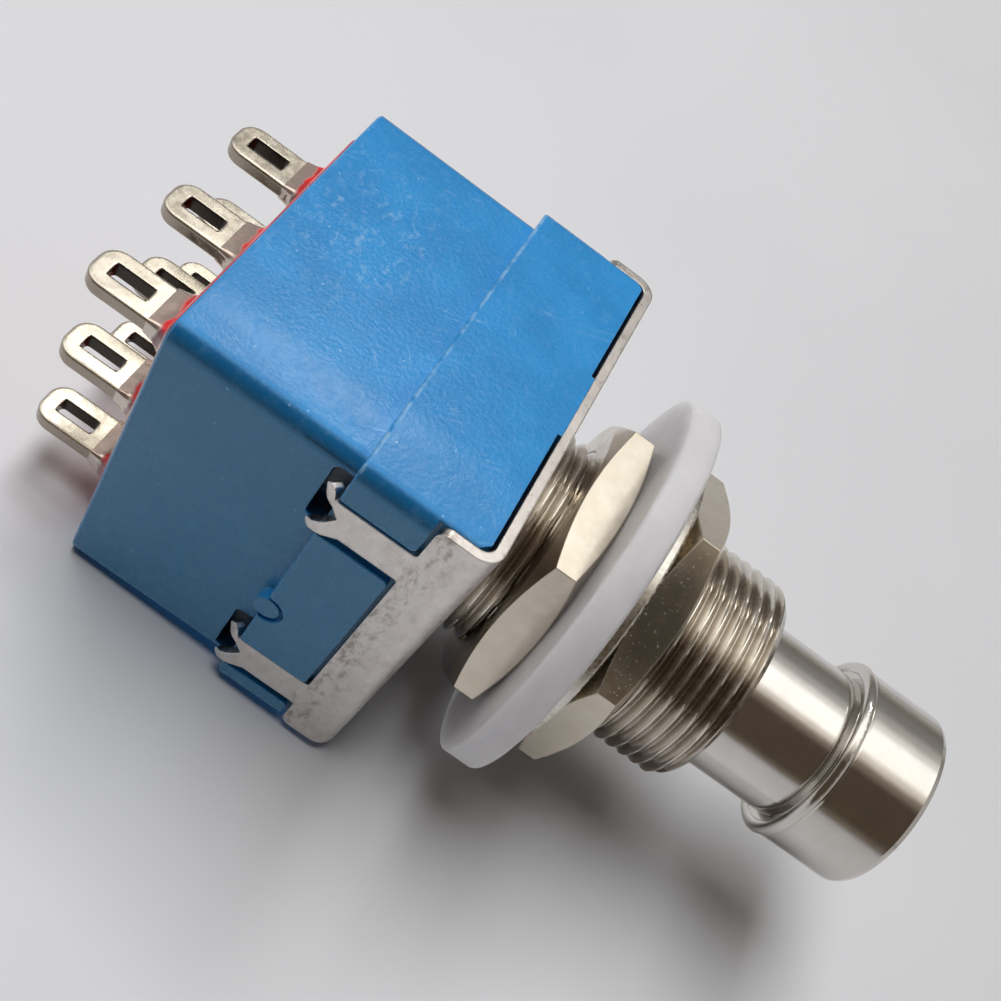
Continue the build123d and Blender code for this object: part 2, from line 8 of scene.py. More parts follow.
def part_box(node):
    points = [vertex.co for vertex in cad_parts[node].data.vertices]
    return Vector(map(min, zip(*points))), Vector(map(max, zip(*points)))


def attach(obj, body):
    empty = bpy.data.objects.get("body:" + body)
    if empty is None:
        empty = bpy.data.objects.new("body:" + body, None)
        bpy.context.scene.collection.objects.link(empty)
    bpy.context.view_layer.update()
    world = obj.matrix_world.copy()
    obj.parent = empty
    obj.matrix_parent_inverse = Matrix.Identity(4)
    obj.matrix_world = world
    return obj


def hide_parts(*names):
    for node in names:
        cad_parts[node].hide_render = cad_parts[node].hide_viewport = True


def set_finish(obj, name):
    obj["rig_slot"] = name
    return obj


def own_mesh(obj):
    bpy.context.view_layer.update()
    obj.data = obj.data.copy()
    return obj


# A three-pole stomp switch that lies on a pale table, its button to the lower right.
# Everything is in metres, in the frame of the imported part: +Z runs along the bushing
# towards the button, and the table is on the +Y side.

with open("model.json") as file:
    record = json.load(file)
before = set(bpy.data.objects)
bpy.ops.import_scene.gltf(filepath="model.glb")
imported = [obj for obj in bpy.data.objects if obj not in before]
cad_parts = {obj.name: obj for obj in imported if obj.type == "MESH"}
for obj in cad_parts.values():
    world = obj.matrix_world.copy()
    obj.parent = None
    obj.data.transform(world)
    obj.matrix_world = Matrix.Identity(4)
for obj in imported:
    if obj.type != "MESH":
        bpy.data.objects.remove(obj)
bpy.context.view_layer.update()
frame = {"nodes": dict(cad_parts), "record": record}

MM = 0.001

# ---------------------------------------------------------------- camera

CAMERA_AT = Vector((46.01, -51.87, -6.78)) * MM
CAMERA_AIM = Vector((-1.04, -0.46, -0.20)) * MM
CAMERA_ROLL = 125.78      # degrees
CAMERA_LENS = 48.63       # millimetres, on the default 36 mm sensor


def make_camera():
    """The camera at the angle of the reference view."""
    camera = bpy.data.objects.new("camera", bpy.data.cameras.new("camera"))
    bpy.context.scene.collection.objects.link(camera)
    camera.data.lens = CAMERA_LENS
    camera.data.clip_start = 1 * MM
    camera.data.clip_end = 10
    camera.location = CAMERA_AT
    camera.rotation_mode = "QUATERNION"
    level = (CAMERA_AIM - CAMERA_AT).to_track_quat("-Z", "Y")
    camera.rotation_quaternion = level @ Quaternion((0, 0, 1), math.radians(CAMERA_ROLL))
    bpy.context.scene.camera = camera


# ---------------------------------------------------------------- node helpers

# a scratch is where a long stretched noise crosses a level
SCRATCH_STRETCH = (3.2, 3.2, 0.13)
SCRATCH_LEVEL = 0.62
SCRATCH_WIDE = 0.010      # in the noise's own value


class Nodes:
    """A node tree, its shader, and helpers that add nodes."""

    def __init__(self, tree, shader):
        self.tree = tree
        self.shader = tree.nodes[shader]

    def add(self, kind, **settings):
        """A new node, with some of its properties set."""
        node = self.tree.nodes.new(kind)
        for key, value in settings.items():
            setattr(node, key, value)
        return node

    def put(self, socket, value, node=None):
        """Sets a socket to a number or colour, or links it to an output."""
        target = (node or self.shader).inputs[socket]
        if isinstance(value, bpy.types.NodeSocket):
            self.tree.links.new(value, target)
        elif isinstance(value, tuple) and len(value) == 3 and target.type == "RGBA":
            target.default_value = (*value, 1)
        else:
            target.default_value = value

    def math(self, operation, first, second=0.0, clamp=False):
        """One step of arithmetic."""
        node = self.add("ShaderNodeMath", operation=operation, use_clamp=clamp)
        self.put(0, first, node)
        self.put(1, second, node)
        return node.outputs[0]

    def span(self, source, low, high, start=0.0, end=1.0):
        """Maps low..high of a value to start..end, smoothly and held at the ends."""
        node = self.add("ShaderNodeMapRange", interpolation_type="SMOOTHSTEP")
        self.put("Value", source, node)
        self.put("From Min", low, node)
        self.put("From Max", high, node)
        self.put("To Min", start, node)
        self.put("To Max", end, node)
        return node.outputs["Result"]

    def blend(self, share, first, second):
        """The first colour, with a share of the second."""
        node = self.add("ShaderNodeMix", data_type="RGBA")
        self.put(0, share, node)
        self.put(6, first, node)
        self.put(7, second, node)
        return node.outputs[2]


class Look(Nodes):
    """A procedural material, with patterns in millimetre scale."""

    def __init__(self, name, rough, metal=0.0):
        self.material = bpy.data.materials.new(name)
        self.material.use_nodes = True
        super().__init__(self.material.node_tree, "Principled BSDF")
        self.put("Roughness", rough)
        self.put("Metallic", metal)
        self.where = self.scaled(self.add("ShaderNodeTexCoord").outputs["Object"], (1 / MM,) * 3)

    def scaled(self, source, scale, turn=(0, 0, 0)):
        """A position that is turned by degrees about each axis, and scaled."""
        node = self.add("ShaderNodeMapping")
        self.put("Vector", source, node)
        self.put("Scale", scale, node)
        self.put("Rotation", tuple(math.radians(a) for a in turn), node)
        return node.outputs["Vector"]

    def noise(self, per_mm, detail=2.0, rough=0.5, stretch=(1, 1, 1), turn=(0, 0, 0)):
        """Soft noise from 0 to 1."""
        node = self.add("ShaderNodeTexNoise")
        self.put("Vector", self.scaled(self.where, stretch, turn), node)
        self.put("Scale", per_mm, node)
        self.put("Detail", detail, node)
        self.put("Roughness", rough, node)
        return node.outputs["Fac"]

    def cells(self, per_mm):
        """The distance to the nearest of many scattered points."""
        node = self.add("ShaderNodeTexVoronoi")
        self.put("Vector", self.where, node)
        self.put("Scale", per_mm, node)
        return node.outputs["Distance"]

    def axis(self, name):
        """A position along an axis, in millimetres."""
        node = self.add("ShaderNodeSeparateXYZ")
        self.put("Vector", self.where, node)
        return node.outputs[name]

    def away(self, name):
        """The distance from the middle along an axis, either way."""
        return self.math("ABSOLUTE", self.axis(name))

    def length(self, vector):
        """The length of a vector."""
        node = self.add("ShaderNodeVectorMath", operation="LENGTH")
        self.put(0, vector, node)
        return node.outputs["Value"]

    def radius(self):
        """The distance from the bushing's axis."""
        return self.length(self.scaled(self.where, (1, 1, 0)))

    def patch(self, middle, wide):
        """1 in the middle of a soft-edged patch, 0 from about its half widths outwards."""
        node = self.add("ShaderNodeVectorMath", operation="SUBTRACT")
        self.put(0, self.where, node)
        self.put(1, middle, node)
        scale = tuple(1 / half for half in wide)
        return self.span(self.length(self.scaled(node.outputs["Vector"], scale)), 0.3, 1.0, 1.0, 0.0)

    def facing(self, name):
        """How squarely the surface faces along an axis, either way."""
        node = self.add("ShaderNodeSeparateXYZ")
        self.put("Vector", self.add("ShaderNodeNewGeometry").outputs["Normal"], node)
        return self.math("ABSOLUTE", node.outputs[name])

    def between(self, source, low, high, soft):
        """1 between two values, with soft ends."""
        rise = self.span(source, low - soft, low + soft)
        return self.math("MULTIPLY", rise, self.span(source, high - soft, high + soft, 1.0, 0.0))

    def scratches(self, turn, shift):
        """A few long fine lines that lean by an angle in the XZ plane."""
        node = self.add("ShaderNodeMapping")
        self.put("Vector", self.scaled(self.where, (1, 1, 1), (0, turn, 0)), node)
        self.put("Location", (shift, shift, shift), node)
        self.put("Scale", SCRATCH_STRETCH, node)
        fine = self.add("ShaderNodeTexNoise")
        self.put("Vector", node.outputs["Vector"], fine)
        self.put("Scale", 1.0, fine)
        self.put("Detail", 1.0, fine)
        off = self.math("ABSOLUTE", self.math("SUBTRACT", fine.outputs["Fac"], SCRATCH_LEVEL))
        line = self.span(off, 0.0, SCRATCH_WIDE, 1.0, 0.0)
        sparse = self.add("ShaderNodeTexNoise")
        self.put("Vector", self.where, sparse)
        self.put("Scale", 0.22 + 0.01 * shift, sparse)
        return self.math("MULTIPLY", line, self.span(sparse.outputs["Fac"], 0.54, 0.64))

    def bump(self, height, deep_mm, strength=1.0, under=None):
        """A normal that follows a height from 0 to 1, over another normal."""
        node = self.add("ShaderNodeBump")
        self.put("Height", height, node)
        self.put("Distance", deep_mm * MM, node)
        self.put("Strength", strength, node)
        if under is not None:
            self.put("Normal", under, node)
        return node.outputs["Normal"]

    def soft_edges(self, radius_mm):
        """A normal that rounds sharp edges."""
        node = self.add("ShaderNodeBevel", samples=6)
        self.put("Radius", radius_mm * MM, node)
        return node.outputs["Normal"]

    def edge_mask(self, radius_mm):
        """1 on sharp edges and 0 on flats."""
        dot = self.add("ShaderNodeVectorMath", operation="DOT_PRODUCT")
        self.put(0, self.soft_edges(radius_mm), dot)
        self.put(1, self.add("ShaderNodeNewGeometry").outputs["Normal"], dot)
        return self.span(self.math("SUBTRACT", 1.0, dot.outputs["Value"]), 0.02, 0.25)


# ---------------------------------------------------------------- plastics

SCUFF_AT = (-2.0, -9.3, -13.4)     # millimetres: the middle of the scuffed patch of the casing
SCUFF_WIDE = (7.5, 2.0, 5.0)
STEP_Z = -6.96                     # the shoulder between the rear part and the collar
# the hollows that the bracket's horns are bent into, painted dark as shade
HORN_PIT_X = (8.9, 10.0)
HORN_PIT_Y = 8.8
HORN_PIT_Z = (-9.6, -6.4)
SCRATCHES = ((28, 0.0, 0.30), (-52, 7.0, 0.20))     # lean in degrees, shift, share


def blue_plastic():
    """The moulded blue casing: fine grain, cloudy scuffs, a few long scratches, worn edges, painted
    shade on the sides, rounded corners and horn hollows, and a painted highlight along the shoulder.
    """
    look = Look("blue_plastic", 0.34)
    cloud = look.span(look.noise(0.30, 3), 0.35, 0.70)
    colour = look.blend(cloud, (0.009, 0.205, 0.505), (0.013, 0.245, 0.580))
    grain = look.span(look.noise(11, 2), 0.40, 0.72)
    colour = look.blend(look.math("MULTIPLY", grain, 0.07), colour, (0.25, 0.52, 0.78))
    # painted sheen and shade: faces that turn to ±X get a greyer, darker blue, a painted veil of the
    # dim room's reflection
    painted_side_sheen = look.span(look.facing("X"), 0.55, 0.90)
    colour = look.blend(look.math("MULTIPLY", painted_side_sheen, 0.85), colour, (0.036, 0.205, 0.385))
    # painted shade: the rounded corners between the ±X and ±Y faces are darkened
    corner_facing_x = look.span(look.facing("X"), 0.15, 0.50)
    painted_corner_shade = look.math("MULTIPLY", corner_facing_x, look.span(look.facing("Y"), 0.15, 0.50))
    colour = look.blend(look.math("MULTIPLY", painted_corner_shade, 0.75), colour, (0.003, 0.060, 0.150))
    pale = (0.50, 0.72, 0.86)
    patch = look.patch(SCUFF_AT, SCUFF_WIDE)
    scuff = look.span(look.noise(1.3, 6, 0.72, (1.0, 1.0, 1.7), (0, 30, 0)), 0.50, 0.72)
    rubbed = look.math("MULTIPLY", scuff, look.math("ADD", 0.06, look.math("MULTIPLY", patch, 0.26)))
    colour = look.blend(rubbed, colour, pale)
    for turn, shift, share in SCRATCHES:
        line = look.scratches(turn, shift)
        colour = look.blend(look.math("MULTIPLY", line, share), colour, pale)
    dots = look.span(look.cells(0.85), 0.035, 0.060, 1.0, 0.0)
    colour = look.blend(look.math("MULTIPLY", dots, 0.45), colour, pale)
    broken = look.span(look.noise(2.2, 4, 0.7), 0.40, 0.62)
    worn = look.math("MULTIPLY", look.edge_mask(0.10), broken)
    colour = look.blend(look.math("MULTIPLY", worn, 0.42), colour, pale)
    # painted highlight: a pale line, broken up by noise, along the shoulder's edge where it catches the
    # light
    step = look.between(look.axis("Z"), STEP_Z - 0.02, STEP_Z + 0.16, 0.05)
    outer = look.span(look.away("Y"), 9.45, 9.75)
    ridge = look.math("MULTIPLY", step, outer)
    ridge = look.math("MULTIPLY", ridge, look.span(look.noise(1.2, 4, 0.7), 0.36, 0.60))
    colour = look.blend(look.math("MULTIPLY", ridge, 0.40), colour, pale)
    # painted shade: the hollows by the horns are darkened to near black
    pits = look.between(look.away("X"), *HORN_PIT_X, 0.04)
    beside = look.span(look.away("Y"), HORN_PIT_Y - 0.1, HORN_PIT_Y + 0.1, 1.0, 0.0)
    pits = look.math("MULTIPLY", pits, beside)
    pits = look.math("MULTIPLY", pits, look.between(look.axis("Z"), *HORN_PIT_Z, 0.1))
    colour = look.blend(look.math("MULTIPLY", pits, 0.85), colour, (0.003, 0.014, 0.028))
    look.put("Base Color", colour)
    look.put("Roughness", look.span(look.noise(1.4, 4, 0.65), 0.25, 0.75, 0.20, 0.30))
    crown = look.bump(look.span(look.axis("X"), 6.0, 13.5, 1.0, 0.0), 0.55, 1.0, look.soft_edges(0.09))
    look.put("Normal", look.bump(look.noise(4.2, 3, 0.6), 0.026, 0.7, crown))
    return look.material


def nylon():
    """The washer: translucent, nearly white, with faint turning marks."""
    look = Look("nylon", 0.40)
    tone = look.span(look.noise(0.5, 3), 0.3, 0.7)
    look.put("Base Color", look.blend(tone, (0.575, 0.565, 0.59), (0.625, 0.615, 0.64)))
    look.put("Subsurface Weight", 0.80)
    look.put("Subsurface Radius", (1.0, 1.0, 1.05))
    look.put("Subsurface Scale", 6.0 * MM)
    look.put("Normal", look.bump(look.noise(3, 2, 0.5, (1, 1, 0.1)), 0.006, 0.4, look.soft_edges(0.14)))
    return look.material


def plain_plastic(name, dark, light, rough):
    """A moulded inner piece."""
    look = Look(name, rough)
    look.put("Base Color", look.blend(look.span(look.noise(0.8, 3), 0.3, 0.7), dark, light))
    look.put("Roughness", look.span(look.noise(3, 3), 0.3, 0.7, rough - 0.06, rough + 0.08))
    look.put("Normal", look.bump(look.noise(8, 2), 0.004, 0.5))
    return look.material


def laminate():
    """The brown paper laminate of the terminal board."""
    look = Look("board_laminate", 0.6)
    fibre = look.span(look.noise(2.0, 4, 0.6, (1, 6, 1)), 0.3, 0.7)
    look.put("Base Color", look.blend(fibre, (0.10, 0.035, 0.015), (0.19, 0.075, 0.035)))
    look.put("Normal", look.bump(fibre, 0.01, 0.4))
    return look.material


# millimetres
RESIN_SHADE_Z = (-17.0, -16.6)    # where the resin meets the case it is painted dark as shade
FILM_Z = -17.05                 # from here to the lug's tip it is only a thin film


def resin():
    """The glossy red sealing resin, painted dark purple as shade on its sides and where it meets the
    case, and only a thin film towards the lugs' tips.
    """
    look = Look("red_resin", 0.09)
    deep = look.span(look.noise(0.75, 4, 0.6), 0.44, 0.60)
    low = look.span(look.axis("Z"), *RESIN_SHADE_Z)
    # painted shade: the resin's sides that face ±X are darkened to purple
    side = look.span(look.facing("X"), 0.25, 0.80)
    colour = look.blend(deep, (0.72, 0.012, 0.018), (0.46, 0.008, 0.018))
    colour = look.blend(look.math("MULTIPLY", side, 0.85), colour, (0.075, 0.008, 0.030))
    # painted shade where the resin meets the case
    colour = look.blend(look.math("MULTIPLY", low, 0.80), colour, (0.070, 0.006, 0.045))
    ragged = look.math("ADD", look.axis("Z"), look.math("MULTIPLY", look.noise(0.9, 2), 0.9))
    film = look.span(ragged, FILM_Z - 0.12, FILM_Z + 0.12, 1.0, 0.0)
    film = look.math("MULTIPLY", film, 0.85)
    look.put("Base Color", look.blend(film, colour, (0.68, 0.62, 0.54)))
    look.put("Metallic", film)
    look.put("Subsurface Weight", 0.12)
    look.put("Subsurface Radius", (1.0, 0.08, 0.06))
    look.put("Subsurface Scale", 0.6 * MM)
    look.put("Coat Weight", 1.0)
    look.put("Coat Roughness", 0.03)
    look.put("Normal", look.bump(look.noise(0.9, 2), 0.10, 0.6))
    return look.material


# ---------------------------------------------------------------- metals

def polished(name, colour, rough):
    """Polished nickel plate with a slight haze, fine axial lines and a few specks."""
    look = Look(name, rough, 1.0)
    haze = look.span(look.noise(0.7, 4, 0.6), 0.3, 0.75)
    toned = look.blend(haze, colour, tuple(0.92 * part for part in colour))
    specks = look.span(look.cells(1.6), 0.03, 0.055, 1.0, 0.0)
    look.put("Base Color", look.blend(look.math("MULTIPLY", specks, 0.45), toned, (0.22, 0.18, 0.14)))
    look.put("Roughness", look.span(look.noise(1.5, 5, 0.65), 0.35, 0.75, rough, rough + 0.07))
    lines = look.noise(14, 2, 0.5, (1, 1, 0.05))
    flow = look.bump(look.noise(0.6, 2), 0.012, 0.5)
    look.put("Normal", look.bump(lines, 0.0010, 0.6, flow))
    return look.material


FRONT_FLAT_AT = (4.5, -6.1, 8.4)      # millimetres: the flat of the front nut that is darker, with more pits
FRONT_FLAT_WIDE = (5.0, 4.6, 2.6)


def nut_metal():
    """Nickel plated nuts: warm, softly polished, with scattered pits and dull patches, painted glints
    on the darker front flat and painted highlights along the edges.
    """
    look = Look("plated_nut", 0.24, 1.0)
    pits = look.span(look.cells(4.2), 0.05, 0.16, 1.0, 0.0)
    some = look.span(look.noise(0.50, 3), 0.60, 0.70)
    front_flat = look.patch(FRONT_FLAT_AT, FRONT_FLAT_WIDE)
    pits = look.math("MULTIPLY", pits, look.math("ADD", some, front_flat, clamp=True))
    tone = look.span(look.noise(0.8, 3, 0.6), 0.3, 0.7)
    colour = look.blend(tone, (0.71, 0.645, 0.545), (0.66, 0.59, 0.485))
    colour = look.blend(look.math("MULTIPLY", pits, 0.6), colour, (0.26, 0.22, 0.18))
    # the front flat is made darker
    darker_flat = look.math("MULTIPLY", front_flat, look.span(look.noise(1.0, 4, 0.6), 0.3, 0.6, 0.50, 0.90))
    colour = look.blend(darker_flat, colour, (0.16, 0.16, 0.14))
    # painted glints: bright specks on the darker front flat
    painted_glints = look.math("MULTIPLY", look.span(look.cells(2.6), 0.10, 0.22, 1.0, 0.0), front_flat)
    colour = look.blend(look.math("MULTIPLY", painted_glints, 0.7), colour, (0.88, 0.88, 0.82))
    # painted highlight: the nut's sharp edges are lightened
    painted_edge_highlight = look.edge_mask(0.10)
    look.put("Base Color", look.blend(look.math("MULTIPLY", painted_edge_highlight, 0.4), colour, (0.90, 0.87, 0.82)))
    look.put("Roughness", look.span(look.noise(1.0, 3, 0.6), 0.3, 0.7, 0.17, 0.27))
    dull = look.bump(look.noise(1.2, 2, 0.5), 0.003, 0.5, look.soft_edges(0.10))
    look.put("Normal", look.bump(pits, -0.035, 0.9, dull))
    return look.material


THREAD_ROOT = 5.60        # millimetres from the axis: where the cut thread is darkest
THREAD_CREST = 5.96


def thread_metal():
    """The cut thread: bright crests, and brown roots where the plating is thin."""
    look = Look("plated_thread", 0.16, 1.0)
    tone = look.span(look.noise(0.9, 4, 0.6), 0.3, 0.7)
    colour = look.blend(tone, (0.78, 0.745, 0.69), (0.66, 0.615, 0.545))
    root = look.span(look.radius(), THREAD_ROOT, THREAD_CREST, 1.0, 0.0)
    look.put("Base Color", look.blend(look.math("MULTIPLY", root, 0.62), colour, (0.24, 0.185, 0.13)))
    look.put("Roughness", look.span(look.noise(2.5, 4, 0.6), 0.3, 0.7, 0.12, 0.26))
    look.put("Normal", look.bump(look.noise(2.4, 3, 0.6, (1, 1, 2.5)), 0.010, 0.5))
    return look.material


# millimetres: the band of the side plates that is rubbed brown, and the legs that are drawn
RUBBED_FROM = (-3.6, -2.6)
RUBBED_TO = (-2.3, -1.1)
LEGS_FROM = (-3.4, -2.4)


def sheet_metal():
    """The bracket: satin nickel, drawn at the legs, with soft brown rubbing and painted highlights
    along the edges.
    """
    look = Look("plated_sheet", 0.34, 1.0)
    tone = look.span(look.noise(0.7, 4, 0.6), 0.3, 0.7)
    colour = look.blend(tone, (0.76, 0.72, 0.69), (0.67, 0.63, 0.60))
    rubbed = look.span(look.noise(1.1, 5, 0.72, (1, 0.8, 1.5)), 0.44, 0.70)
    band = look.span(look.axis("Z"), *RUBBED_FROM)
    band = look.math("MULTIPLY", band, look.span(look.axis("Z"), *RUBBED_TO, 1.0, 0.0))
    rubbed = look.math("MULTIPLY", rubbed, look.math("ADD", 0.18, look.math("MULTIPLY", band, 0.55)))
    colour = look.blend(rubbed, colour, (0.20, 0.165, 0.135))
    drawn = look.span(look.noise(2.6, 4, 0.7, (1, 1.0, 0.16)), 0.60, 0.74)
    drawn = look.math("MULTIPLY", drawn, look.span(look.axis("Z"), *LEGS_FROM, 1.0, 0.0))
    colour = look.blend(look.math("MULTIPLY", drawn, 0.45), colour, (0.16, 0.13, 0.11))
    # painted highlight: the bracket's sharp edges are lightened
    painted_edge_highlight = look.edge_mask(0.12)
    look.put("Base Color", look.blend(look.math("MULTIPLY", painted_edge_highlight, 0.7), colour, (0.90, 0.88, 0.86)))
    look.put("Roughness", look.span(look.noise(2.4, 5, 0.7), 0.3, 0.7, 0.26, 0.42))
    rolled = look.bump(look.noise(5.0, 4, 0.6, (1, 0.5, 1.5)), 0.007, 0.5, look.soft_edges(0.12))
    look.put("Normal", look.bump(drawn, -0.02, 0.5, rolled))
    return look.material


POLE_PITCH = 6.07         # millimetres between the rows of lugs
SLOT_HALF = 0.45          # the slot in each lug
SLOT_TOP = -18.84
SLOT_BOTTOM = -20.92


def lug_metal():
    """Silver-plated lugs: warm white, brown where rubbed, with painted shade on the sides and in the
    slot.
    """
    look = Look("silver_lug", 0.26, 1.0)
    tone = look.span(look.noise(0.9, 3, 0.6), 0.3, 0.7)
    colour = look.blend(tone, (0.80, 0.745, 0.64), (0.66, 0.60, 0.50))
    stain = look.span(look.noise(1.0, 3, 0.6), 0.60, 0.74)
    colour = look.blend(look.math("MULTIPLY", stain, 0.25), colour, (0.34, 0.27, 0.20))
    from_row = look.math("PINGPONG", look.axis("X"), POLE_PITCH / 2)
    # painted shade: the slot's inner walls are painted near black
    painted_slot_shade = look.span(from_row, SLOT_HALF + 0.02, SLOT_HALF + 0.05, 1.0, 0.0)
    painted_slot_shade = look.math("MULTIPLY", painted_slot_shade, look.between(look.axis("Z"), SLOT_BOTTOM, SLOT_TOP, 0.02))
    # painted shade: faces that don't face ±Y (the lug's sides and rim) are darkened to brown-grey
    painted_side_shade = look.span(look.facing("Y"), 0.35, 0.92, 1.0, 0.0)
    colour = look.blend(look.math("MULTIPLY", painted_side_shade, 0.80), colour, (0.27, 0.225, 0.18))
    look.put("Base Color", look.blend(look.math("MULTIPLY", painted_slot_shade, 0.93), colour, (0.03, 0.024, 0.020)))
    look.put("Roughness", look.span(look.noise(2.2, 3, 0.6), 0.3, 0.7, 0.18, 0.30))
    look.put("Normal", look.bump(look.noise(1.6, 2, 0.5), 0.004, 0.5, look.soft_edges(0.16)))
    return look.material


def bright_metal(name, light, dark, rough):
    """A small stamped, drawn or turned piece."""
    look = Look(name, rough, 1.0)
    look.put("Base Color", look.blend(look.span(look.noise(1.5, 3), 0.3, 0.7), light, dark))
    look.put("Roughness", look.span(look.noise(4, 4), 0.3, 0.7, rough - 0.06, rough + 0.10))
    look.put("Normal", look.bump(look.noise(9, 3), 0.006, 0.5))
    return look.material


# ---------------------------------------------------------------- meshes

LATHE_SIDES = 160
THREAD_R = 6.0 * MM
PITCH = 0.75 * MM
THREAD_DEEP = 0.42 * MM
THREAD_STEPS = 12         # rings to a turn
CREST_FLAT = 0.10         # the shares of half a pitch that are crest and slope
SLOPE_SHARE = 0.75
BORE_R = 4.36 * MM
STEM_BORE_R = 1.67 * MM
BORE_FLOOR = 1.0 * MM
BORE_CHAMFER = 0.25 * MM
SPIGOT_R = 5.0 * MM
RIVET_R = 5.55 * MM       # the spigot's rim, spread over under the plate
RIVET_END_R = 5.35 * MM
SHEET = 0.50 * MM
TIP_CHAMFER = 0.5 * MM


def new_piece(name, verts, faces):
    """An object with its own mesh, in the part's frame."""
    mesh = bpy.data.meshes.new(name)
    mesh.from_pydata(verts, [], faces)
    piece = bpy.data.objects.new(name, mesh)
    bpy.context.scene.collection.objects.link(piece)
    return piece


def lathe(name, rings, sides=LATHE_SIDES):
    """A closed ring-shaped mesh. Each ring is a function from an angle to (radius, height)."""
    verts = []
    for ring in rings:
        for step in range(sides):
            angle = 2 * math.pi * step / sides
            radius, height = ring(angle)
            verts.append((radius * math.cos(angle), radius * math.sin(angle), height))
    faces = []
    for number in range(len(rings)):
        after = (number + 1) % len(rings)
        for step in range(sides):
            beside = (step + 1) % sides
            faces.append((
                number * sides + step, number * sides + beside,
                after * sides + beside, after * sides + step))
    return new_piece(name, verts, faces)


def smooth(piece, degrees=35):
    """Smooth shading that keeps edges sharper than an angle."""
    mesh = piece.data
    mesh.shade_smooth()
    mesh.set_sharp_from_angle(angle=math.radians(degrees))


def fixed(radius, height):
    """A plain round ring."""
    return lambda angle: (radius, height)


def thread_ring(height, end):
    """A ring on the helical thread, which is cut down to a cone at the tip."""
    def ring(angle):
        turn = (height / PITCH - angle / (2 * math.pi)) % 1
        ridge = abs(2 * turn - 1)
        depth = THREAD_DEEP * min(max((ridge - CREST_FLAT) / SLOPE_SHARE, 0), 1)
        tip = THREAD_R - TIP_CHAMFER + (end - height)
        return min(THREAD_R - depth, tip), height
    return ring


def make_bushing():
    """The threaded bushing, with its real helical thread."""
    low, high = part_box("bushing")
    end = high.z
    count = round(end / (PITCH / THREAD_STEPS))
    rings = [thread_ring(end * k / count, end) for k in range(count + 1)]
    rings += [
        fixed(BORE_R + BORE_CHAMFER, end), fixed(BORE_R, end - BORE_CHAMFER),
        fixed(BORE_R, BORE_FLOOR), fixed(STEM_BORE_R, BORE_FLOOR), fixed(STEM_BORE_R, low.z),
        fixed(RIVET_END_R, low.z), fixed(RIVET_R, -SHEET), fixed(SPIGOT_R, -SHEET), fixed(SPIGOT_R, 0)]
    piece = lathe("threaded_bushing", rings)
    smooth(piece)
    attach(piece, "switch_case")
    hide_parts("bushing")
    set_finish(piece, "plated_thread")
    return piece


SPRING_WIRE = 0.33 * MM
SPRING_R = 3.10 * MM
SPRING_TURNS = 5.0
SPRING_GAP = 0.03 * MM    # over the floor it stands on
SPRING_STEPS = 240
WIRE_SIDES = 10


def make_return_spring():
    """The coil spring inside the bushing."""
    low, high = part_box("return_spring")
    z0 = BORE_FLOOR + SPRING_WIRE + SPRING_GAP
    z1 = high.z - SPRING_WIRE
    verts, faces = [], []
    for k in range(SPRING_STEPS + 1):
        angle = 2 * math.pi * SPRING_TURNS * k / SPRING_STEPS
        height = z0 + (z1 - z0) * k / SPRING_STEPS
        middle = Vector((SPRING_R * math.cos(angle), SPRING_R * math.sin(angle), height))
        out = Vector((math.cos(angle), math.sin(angle), 0))
        for side in range(WIRE_SIDES):
            a = 2 * math.pi * side / WIRE_SIDES
            verts.append(middle + SPRING_WIRE * (out * math.cos(a) + Vector((0, 0, math.sin(a)))))
    for k in range(SPRING_STEPS):
        first = k * WIRE_SIDES
        for side in range(WIRE_SIDES):
            beside = (side + 1) % WIRE_SIDES
            faces.append((
                first + side, first + beside, first + WIRE_SIDES + beside, first + WIRE_SIDES + side))
    faces.append(tuple(reversed(range(WIRE_SIDES))))
    faces.append(tuple(SPRING_STEPS * WIRE_SIDES + side for side in range(WIRE_SIDES)))
    piece = new_piece("coil_spring", [tuple(v) for v in verts], faces)
    smooth(piece, 60)
    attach(piece, "switch_case")
    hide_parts("return_spring")
    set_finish(piece, "spring_wire")
    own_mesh(piece)
    return piece


# ---------------------------------------------------------------- finish of every node

